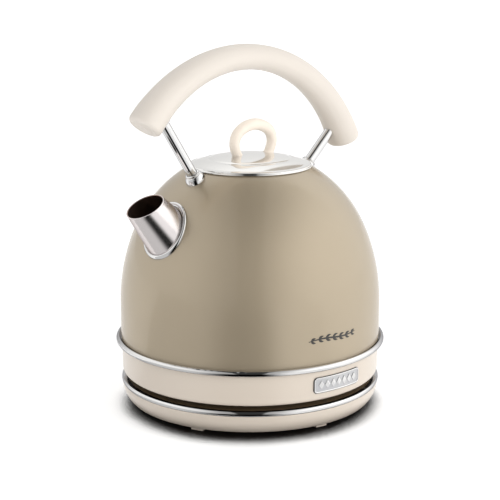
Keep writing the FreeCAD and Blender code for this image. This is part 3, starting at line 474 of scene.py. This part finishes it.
def stage_light():
    """A white room, brighter above and to the right, with a dark band overhead that runs
    from behind the camera past the zenith."""
    world = bpy.data.worlds.new("studio")
    bpy.context.scene.world = world
    world.use_nodes = True
    tree = world.node_tree
    tree.nodes.clear()
    out = tree.nodes.new("ShaderNodeOutputWorld")
    glow = tree.nodes.new("ShaderNodeBackground")
    tree.links.new(glow.outputs[0], out.inputs[0])
    way = node(tree, "ShaderNodeTexCoord").outputs["Generated"]
    # Brightness by height, and from left to right.
    aside = toward(tree, way, RIGHT)
    level = ramp(tree, toward(tree, way, UP), 0.0, 0.9, 1.26, 1.52)
    sides = ramp(tree, aside, -0.9, 0.9, 0.80, 1.10)
    # The dark band, soft in its width with a darker core, and where it ends behind the kettle.
    lateral = maths(tree, "ABSOLUTE", aside, 0.0)
    wide = ramp(tree, lateral, 0.22, 0.90, 0.32, 1.0)
    core = ramp(tree, lateral, 0.17, 0.23, 0.10, 1.0)
    depth = toward(tree, way, BACK)
    behind = maths(tree, "MULTIPLY", ramp(tree, depth, -0.5, -0.15, 1.0, 0.0),
                   ramp(tree, depth, -1.0, -0.4, 0.70, 1.0))
    band = maths(tree, "MAXIMUM", maths(tree, "MULTIPLY", wide, core), behind)
    room = maths(tree, "MULTIPLY", level, sides)
    tree.links.new(maths(tree, "MULTIPLY", room, band), glow.inputs["Strength"])
    glow.inputs["Color"].default_value = (1.0, 0.995, 0.985, 1)


def stage_wall():
    """A white wall far off that only the camera sees, so that the floor has no far edge."""
    radius, tall = FLOOR_RADIUS - 0.1, 6.0
    count = 2 * ROUND_SIDES
    verts = []
    for i in range(ROUND_SIDES):
        a = 2 * math.pi * i / ROUND_SIDES
        for z in (-0.01, tall):
            verts.append((radius * math.cos(a), radius * math.sin(a), z))
    faces = [(i, i + 1, (i + 3) % count, (i + 2) % count) for i in range(0, count, 2)]
    material, tree, out = glowing("wall_white")
    glow = node(tree, "ShaderNodeEmission", Strength=1.05)
    tree.links.new(glow.outputs[0], out.inputs["Surface"])
    staged("wall", verts, faces, material, ("diffuse", "glossy", "transmission", "shadow"))


def stage_card():
    """A fan on the floor in front of the kettle, black in its middle, that only gloss shows."""
    near, far, height, parts = 0.10, FLOOR_RADIUS - 0.5, 0.0012, 24
    leftmost, rightmost = math.radians(-85), math.radians(60)
    verts = []
    for i in range(parts + 1):
        angle = VIEW_AZIMUTH + leftmost + (rightmost - leftmost) * i / parts
        for reach in (near, far):
            verts.append((reach * math.cos(angle), reach * math.sin(angle), height))
    faces = [(2 * i, 2 * i + 1, 2 * i + 3, 2 * i + 2) for i in range(parts)]
    material, tree, out = glowing("card_glow")
    place = node(tree, "ShaderNodeTexCoord").outputs["Object"]
    unit = tree.nodes.new("ShaderNodeVectorMath")
    unit.operation = "NORMALIZE"
    tree.links.new(place, unit.inputs[0])
    aside = toward(tree, unit.outputs[0], RIGHT)
    left = ramp(tree, aside, -0.62, -0.22, 0.64, 0.0)
    right = ramp(tree, aside, 0.13, 0.46, 0.0, 0.98)
    glow = node(tree, "ShaderNodeEmission", Strength=maths(tree, "MAXIMUM", left, right))
    tree.links.new(glow.outputs[0], out.inputs["Surface"])
    staged("card", verts, faces, material, ("camera", "diffuse", "shadow", "transmission"))


def stage_fill():
    """A wide soft panel by the camera that lights matt surfaces and shows in no reflection."""
    data = bpy.data.lights.new("fill", "AREA")
    data.shape = "DISK"
    data.size = 1.6
    data.energy = 16.0
    data.color = (1.0, 0.985, 0.96)
    fill = bpy.data.objects.new("fill", data)
    fill.location = BACK * 1.7 + RIGHT * 0.9 + UP * 0.9
    fill.rotation_euler = (Vector((0, 0, 0.13)) - fill.location).to_track_quat("-Z", "Y").to_euler()
    fill.visible_glossy = False
    fill.visible_camera = False
    bpy.context.scene.collection.objects.link(fill)


def stage_camera():
    data = bpy.data.cameras.new("camera")
    data.lens = LENS
    data.sensor_width = 36
    data.clip_end = 50
    camera = bpy.data.objects.new("camera", data)
    camera.location = (VIEW_DISTANCE * math.cos(VIEW_AZIMUTH),
                       VIEW_DISTANCE * math.sin(VIEW_AZIMUTH), VIEW_HEIGHT)
    camera.rotation_euler = (math.pi / 2 - VIEW_PITCH, 0, VIEW_AZIMUTH + math.pi / 2)
    bpy.context.scene.collection.objects.link(camera)
    bpy.context.scene.camera = camera
    bpy.context.scene.view_settings.view_transform = "Standard"


# ---------------------------------------------------------------- spout

SPOUT_WAY = way_of(SPOUT_TILT, -1)
MOUTH_WAY = way_of(62.0, -1)
SPOUT_FOOT = 17.0
SPOUT_MOUTH = 13.0
SPOUT_LONG = 26.6
SPOUT_WALL = 0.8
COLLAR_RADIUS = 19.4
SPOUT_STEPS = 128


def spout_point(angle, radial, gone):
    """A point at an angle and a distance from the spout's axis, some way along it."""
    side = Vector((0, 1, 0))
    across = side.cross(SPOUT_WAY)
    spoke = across * math.cos(angle) + side * math.sin(angle)
    return SPOUT_ROOT + spoke * radial + SPOUT_WAY * gone


def spout_taper(gone):
    return SPOUT_FOOT + (SPOUT_MOUTH - SPOUT_FOOT) * gone / SPOUT_LONG


def mouth_reach(angle, inset):
    """How far along the axis the slanted mouth is at an angle, on a skin inside the outer one."""
    low, high = 0.0, 60.0
    target = SPOUT_ROOT + SPOUT_WAY * SPOUT_LONG
    for _ in range(40):
        middle = (low + high) / 2
        point = spout_point(angle, spout_taper(middle) - inset, middle)
        if (point - target).dot(MOUTH_WAY) < 0:
            low = middle
        else:
            high = middle
    return low


def make_spout():
    """A tapered tube from the dome to a slanted mouth with a rolled lip. Each lip point is
    (distance inside the outer skin, distance past the mouth, how far it flares)."""
    angles = [2 * math.pi * i / SPOUT_STEPS for i in range(SPOUT_STEPS)]
    flare = 0.5
    lip = [(0.0, -0.9, 0.0), (0.0, -0.35, 0.25), (0.22, -0.05, 0.45), (0.55, 0.0, 0.3),
           (SPOUT_WALL, -0.25, 0.1), (SPOUT_WALL + 0.05, -0.8, 0.0)]

    lip_room = 1.2
    foot_gap = 0.3
    skin_rings = 13
    inside, step = -16, 10

    def foot_reach(angle, inset):
        start = spout_point(angle, spout_taper(0) - inset, inside)
        way = spout_point(angle, spout_taper(step) - inset, inside + step) - start
        return (onto_dome(start, way.normalized(), foot_gap) - SPOUT_ROOT).dot(SPOUT_WAY)

    outer = [[] for _ in range(skin_rings)]
    inner = [[] for _ in range(skin_rings)]
    rim = [[] for _ in lip]
    for angle in angles:
        for skin, inset in ((outer, 0.0), (inner, SPOUT_WALL)):
            start = foot_reach(angle, inset)
            end = mouth_reach(angle, inset) - lip_room
            for i, ring in enumerate(skin):
                gone = start + (end - start) * i / (skin_rings - 1)
                ring.append(spout_point(angle, spout_taper(gone) - inset, gone))
        for (inset, back, out), ring in zip(lip, rim):
            gone = mouth_reach(angle, inset) + back
            ring.append(spout_point(angle, spout_taper(gone) - inset + out * flare, gone))
    piece = solid("spout_tube", "jug", "brushed_spout", outer + rim + inner[::-1], loop=True)
    # The inner skin takes the darker steel of painted shade.
    piece.data.materials.append(MATERIALS["spout_inside"])
    for face in piece.data.polygons:
        offset = face.center / MM - SPOUT_ROOT
        gone = offset.dot(SPOUT_WAY)
        radial = (offset - SPOUT_WAY * gone).length
        face.material_index = 1 if radial < spout_taper(gone) - SPOUT_WALL / 2 else 0
    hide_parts("spout")


def make_flange():
    """A ring on the dome round the spout's foot, as (distance outside its edge, lift)."""
    profile = outline([(0.0, 0.02), (0.0, 0.9), (-1.1, 2.0, 1.15), (-1.9, 1.5, 1.15),
                       (-2.35, 1.1, -0.9), (-2.8, 1.0)])
    inner_edge = spout_taper(0) + 0.55 - COLLAR_RADIUS
    profile += [Vector((inner_edge, 1.0)), Vector((inner_edge, 0.02))]
    angles = [2 * math.pi * i / SPOUT_STEPS for i in range(SPOUT_STEPS)]
    rings = []
    for p in profile:
        rings.append([onto_dome(spout_point(a, COLLAR_RADIUS + p.x, 0), SPOUT_WAY, p.y)
                      for a in angles])
    piece = solid("spout_flange", "jug", "polished_chrome", rings, loop=True)
    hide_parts("spout_collar")


# ---------------------------------------------------------------- lid and knob

LID_LOW, LID_HIGH = node_box("lid_cover")


def make_lid():
    """A flat dome of sheet with a turned lip and a fine groove."""
    top = LID_HIGH.z
    radius = LID_HIGH.x
    lip = LID_LOW.z
    curve = 125.0
    sheet = 0.8
    edge = radius - sheet

    def height(r, depth=0.0):
        return top - curve + math.sqrt((curve - depth) ** 2 - r * r)

    groove = 29.0
    points = [
        (0.0, height(0, sheet)),
        (edge - 1.2, height(edge - 1.2, sheet), -(curve - sheet)),
        (edge - 0.6, lip + 0.9),
        (edge - 0.3, lip + 0.05),
        (radius - 0.15, lip),
        (radius, lip + 0.35, 0.3),
        (edge + 0.15, lip + 1.0, 0.7),
        (edge, height(edge - 0.6), -0.9),
        (edge - 0.9, height(edge - 0.9) - 0.02, 1.2),
        (groove + 0.55, height(groove + 0.55), curve),
        (groove, height(groove) - 0.12, -0.9),
        (groove - 0.55, height(groove - 0.55), -0.9),
        (0.0, height(0), curve),
    ]
    piece = solid("lid_dome", "lid", "polished_lid", spun(points, 224), loop=True)
    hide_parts("lid_cover")


KNOB_LOW, KNOB_HIGH = node_box("lid_knob")


def make_knob():
    """A loop of round bar that is thickest at its top, with feet that flare onto the lid."""
    middle = (KNOB_LOW.x + KNOB_HIGH.x) / 2
    bar = 3.8
    top = KNOB_HIGH.z - bar
    arch = 22.0
    shoulder = 10.5
    lean = math.radians(25)
    start = math.radians(55)
    arch_z = top - arch
    turn = Vector(((arch - shoulder) * math.cos(start),
                   arch_z + (arch - shoulder) * math.sin(start)))
    crown = Vector((arch * math.cos(start), arch_z + arch * math.sin(start)))
    leg = turn + Vector((math.cos(lean), -math.sin(lean))) * shoulder
    foot_z = KNOB_LOW.z - 0.6
    foot = Vector((leg.x - (leg.y - foot_z) * math.tan(lean), foot_z))
    rising = [foot.lerp(leg, i) for i in (0.0, 0.15, 0.3, 0.5, 0.75)]
    line = [(-p.x, p.y) for p in rising]
    line += [(-leg.x, leg.y), (-crown.x, crown.y, -shoulder), (crown.x, crown.y, -arch),
             (leg.x, leg.y, -shoulder)]
    line += [(p.x, p.y) for p in reversed(rising)]
    path = outline(line)
    rings = []
    sides = 40
    slim, swell, flare, flare_high = 3.45, 0.65, 0.9, 1.6
    for i, p in enumerate(path):
        ahead = path[min(i + 1, len(path) - 1)] - path[max(i - 1, 0)]
        ahead.normalize()
        normal = Vector((-ahead.y, ahead.x))
        lift = p.y - foot.y
        radius = slim + swell * (lift / (top - foot.y)) ** 1.5
        radius += flare * max(0.0, 1 - lift / flare_high) ** 2
        ring = []
        for j in range(sides):
            a = 2 * math.pi * j / sides
            spot = p + normal * radius * math.cos(a)
            ring.append(Vector((middle + spot.x, radius * math.sin(a), spot.y)))
        rings.append(ring)
    piece = solid("knob_loop", "lid", "cream_knob", rings)
    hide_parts("lid_knob")


# ---------------------------------------------------------------- handle

FRONT_WAY = way_of(56.9, -1)
REAR_WAY = way_of(44.4, 1)


def dome_height(radius):
    return CROWN_Z + math.sqrt(CROWN_CURVE ** 2 - (radius - CROWN_X) ** 2)


FEET = {
    "front": (Vector((-48.7, 0, dome_height(48.7))), FRONT_WAY),
    "rear": (Vector((52.4, 0, dome_height(52.4))), REAR_WAY),
}


def make_ferrules():
    """A half ball with a small ring round the strut, standing on the dome."""
    ball = 6.9
    bar = 3.7
    neck = 4.75
    sunk = -3.0
    for side, (foot, way) in FEET.items():
        points = [
            (bar, sunk),
            (ball - 0.6, sunk),
            (ball, -0.4, 2.4),
            (5.4, 4.0, ball),
            (neck, 4.5, -0.9),
            (neck, 4.7),
            (neck + 0.2, 5.1, 0.45),
            (neck, 5.6, 0.45),
            (bar + 0.15, 5.9, 1.2),
            (bar, 5.6),
        ]
        piece = solid(f"{side}_ball", "jug", "polished_chrome",
                      spun(points, 96, stand(foot, way)), loop=True)
        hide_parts(f"{side}_ferrule")


# ---------------------------------------------------------------- filter

def make_filter_net():
    """A woven net of fine wires, in the plane of the filter's frame."""
    low, high = node_box("filter_mesh")
    tilt = math.radians(28.5)
    thick = 0.4
    wide = high.y - low.y
    tall = (high.z - low.z - thick * math.sin(tilt)) / math.cos(tilt)
    middle = (low + high) / 2
    middle.y = 0.0
    across = Vector((0, 1, 0))
    upright = Vector((math.sin(tilt), 0, math.cos(tilt)))
    facing = across.cross(upright)
    pitch = 1.5
    wire = 0.13
    sides = 5
    verts = []
    faces = []

    def run_wire(along, sideways, offset, long, start):
        steps = 2 * round(long / pitch)
        base = len(verts)
        for i in range(steps + 1):
            gone = long * (i / steps - 0.5)
            wave = wire * 0.5 * math.cos(math.pi * (gone / pitch + start))
            for k in range(sides):
                a = 2 * math.pi * k / sides
                spot = (middle + along * gone + sideways * (offset + wire / 2 * math.cos(a))
                        + facing * (wave + wire / 2 * math.sin(a)))
                verts.append(spot * MM)
        for i in range(steps):
            for k in range(sides):
                n = (k + 1) % sides
                here, there = base + i * sides, base + (i + 1) * sides
                faces.append((here + k, here + n, there + n, there + k))
        faces.append(tuple(base + k for k in reversed(range(sides))))
        faces.append(tuple(base + steps * sides + k for k in range(sides)))

    for along, sideways, long, span, start in ((across, upright, wide, tall, 0),
                                               (upright, across, tall, wide, 1)):
        count = int(span / pitch)
        for i in range(count):
            run_wire(along, sideways, pitch * (i - (count - 1) / 2), long, start + i % 2)
    piece = finished("filter_net", "filter", "filter_net", verts, faces)
    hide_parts("filter_mesh")


# ---------------------------------------------------------------- lever

LEVER_HIGH = node_box("power_switch")[1]


def make_lever_ribs():
    """Half-round finger ribs across the top of the lever, outside the skirt."""
    nose = 2.6
    half = LEVER_HIGH.y - 1.6
    ribs, pitch = 3, 1.3
    full, tip, taper = 0.38, 0.12, 0.3
    angles = [2 * math.pi * k / 12 for k in range(12)]
    for i in range(ribs):
        reach = LEVER_HIGH.x - nose - pitch * i
        rings = []
        for along, size in ((-half, tip), (taper - half, full), (half - taper, full),
                            (half, tip)):
            rings.append([Vector((reach + size * math.cos(a), along,
                                  LEVER_HIGH.z + size * math.sin(a))) for a in angles])
        solid(f"lever_rib_{i}", "switch", "cream_plastic", rings)


# ---------------------------------------------------------------- badge and print

SKIRT_RADIUS = node_box("jug_skirt")[1].x


def on_cylinder(radius, azimuth, across, height):
    """A point on an upright cylinder, some way round it from an azimuth."""
    angle = azimuth + across / radius
    return lambda lift: Vector(((radius + lift) * math.cos(angle),
                                (radius + lift) * math.sin(angle), height))


def rounded_loop(wide, high, corner):
    """Points round a rectangle with rounded corners, from its lower left, in even numbers."""
    loop = []
    runs = ((1, 0, wide), (0, 1, high), (-1, 0, wide), (0, -1, high))
    x, y = -wide / 2 + corner, -high / 2
    for i, (dx, dy, long) in enumerate(runs):
        straight = long - 2 * corner
        count = 24 if i % 2 == 0 else 6
        for k in range(count):
            loop.append((x + dx * straight * k / count, y + dy * straight * k / count))
        x, y = x + dx * straight, y + dy * straight
        centre = (x - dy * corner, y + dx * corner)
        start = math.atan2(y - centre[1], x - centre[0])
        for k in range(6):
            a = start + math.pi / 2 * k / 6
            loop.append((centre[0] + corner * math.cos(a), centre[1] + corner * math.sin(a)))
        x = centre[0] + corner * math.cos(start + math.pi / 2)
        y = centre[1] + corner * math.sin(start + math.pi / 2)
    return loop


BADGE_AZIMUTH = math.radians(-90.4)


def make_badge():
    """A plate with a raised rim and a row of lozenges on its sunk panel. Rings are given as
    (distance inside the plate's edge, lift off the skirt)."""
    low, high = node_box("badge_plate")
    middle = (low.z + high.z) / 2
    wide, tall, corner = 41.5, high.z - low.z, 2.8

    def ring(inset, lift):
        loop = rounded_loop(wide - 2 * inset, tall - 2 * inset, max(corner - inset, 0.15))
        return [on_cylinder(SKIRT_RADIUS, BADGE_AZIMUTH, u, middle + v)(lift) for u, v in loop]

    plate = solid("badge_backing", "jug", "print_ink",
                  [ring(0.0, 0.03), ring(0.0, 0.35), ring(0.7, 0.35), ring(0.7, 0.03)], loop=True)
    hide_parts("badge_plate")
    rim = [(0.35, 0.05), (0.35, 0.72), (0.5, 0.86), (0.8, 0.9), (1.1, 0.86), (1.3, 0.72),
           (1.3, 0.05)]
    solid("badge_rim", "jug", "polished_chrome", [ring(*step) for step in rim], loop=True)
    insets = (1.25, 2.0, 3.0, 4.0, 5.0, tall / 2 - 0.05)
    face = [ring(inset, 0.5) for inset in insets]
    back = [ring(inset, 0.05) for inset in reversed(insets)]
    solid("badge_panel", "jug", "badge_metal", face + back, loop=True)
    lozenges = 7
    pitch = (wide - 7.0) / lozenges
    half_wide, half_tall = pitch * 0.43, 2.9
    verts = []
    faces = []
    for i in range(lozenges):
        centre = (i - (lozenges - 1) / 2) * pitch
        for reach, lift in ((1.0, 0.45), (1.0, 0.8), (0.8, 0.9)):
            for u, v in ((-half_wide, 0), (0, -half_tall), (half_wide, 0), (0, half_tall)):
                verts.append(on_cylinder(SKIRT_RADIUS, BADGE_AZIMUTH, centre + u * reach,
                                         middle + v * reach)(lift) * MM)
        base = i * 12
        for level in (0, 4):
            for k in range(4):
                n = (k + 1) % 4
                faces.append((base + level + k, base + level + n,
                              base + level + 4 + n, base + level + 4 + k))
        faces.append((base + 8, base + 9, base + 10, base + 11))
        faces.append((base + 3, base + 2, base + 1, base))
    finished("badge_lozenges", "jug", "polished_chrome", verts, faces)


PRINT_AZIMUTH = math.radians(-93.6)
PRINT_HEIGHT = 64.8


def make_print():
    """A printed flourish: a waving stem with leaves in pairs along it."""
    verts = []
    faces = []

    def ribbon(line, widths):
        base = len(verts)
        for i, p in enumerate(line):
            ahead = line[min(i + 1, len(line) - 1)] - line[max(i - 1, 0)]
            ahead.normalize()
            side = Vector((-ahead.y, ahead.x)) * widths[i] / 2
            for spot in (p + side, p - side):
                place = on_cylinder(SHELL_RADIUS, PRINT_AZIMUTH, spot.x, PRINT_HEIGHT + spot.y)
                verts.extend((place(0.02) * MM, place(0.09) * MM))
        for i in range(len(line) - 1):
            a, b = base + 4 * i, base + 4 * i + 4
            faces.extend(((a + 1, a + 3, b + 3, b + 1), (a, b, b + 2, a + 2),
                          (a, a + 1, b + 1, b), (a + 2, b + 2, b + 3, a + 3)))
        end = base + 4 * (len(line) - 1)
        faces.extend(((base, base + 2, base + 3, base + 1), (end, end + 1, end + 3, end + 2)))

    half, wave, rise = 20.0, 0.8, 1.2
    steps, leaf_steps = 72, 12
    leaves, spread_out, curl = 7, math.radians(58), 0.55

    def stem_at(t):
        return Vector((half * (2 * t - 1), wave * math.sin(t * math.pi * 2) + rise * (t - 0.5)))

    ribbon([stem_at(i / steps) for i in range(steps + 1)],
           [0.5 + 0.75 * math.sin(math.pi * i / steps) for i in range(steps + 1)])
    along = [k / leaf_steps for k in range(leaf_steps + 1)]
    widths = [0.3 + 1.35 * math.sin(math.pi * s ** 0.8) for s in along]
    for i in range(leaves):
        t = (i + 0.35) / leaves
        long = 3.4 + 1.2 * math.sin(math.pi * t)
        for upward in (-1, 1):
            leaf = []
            for s in along:
                bend = spread_out * (1 - curl * s)
                leaf.append(stem_at(t) + Vector((math.cos(bend) * long * s,
                                                 upward * math.sin(bend) * long * s)))
            ribbon(leaf, widths)
    finished("printed_flourish", "jug", "print_ink", verts, faces)


# ---------------------------------------------------------------- the kettle

dress_nodes()
stage_camera()
stage_floor()
stage_light()
stage_wall()
stage_card()
stage_fill()
make_spout()
make_flange()
make_lid()
make_knob()
make_ferrules()
make_filter_net()
make_lever_ribs()
make_badge()
make_print()
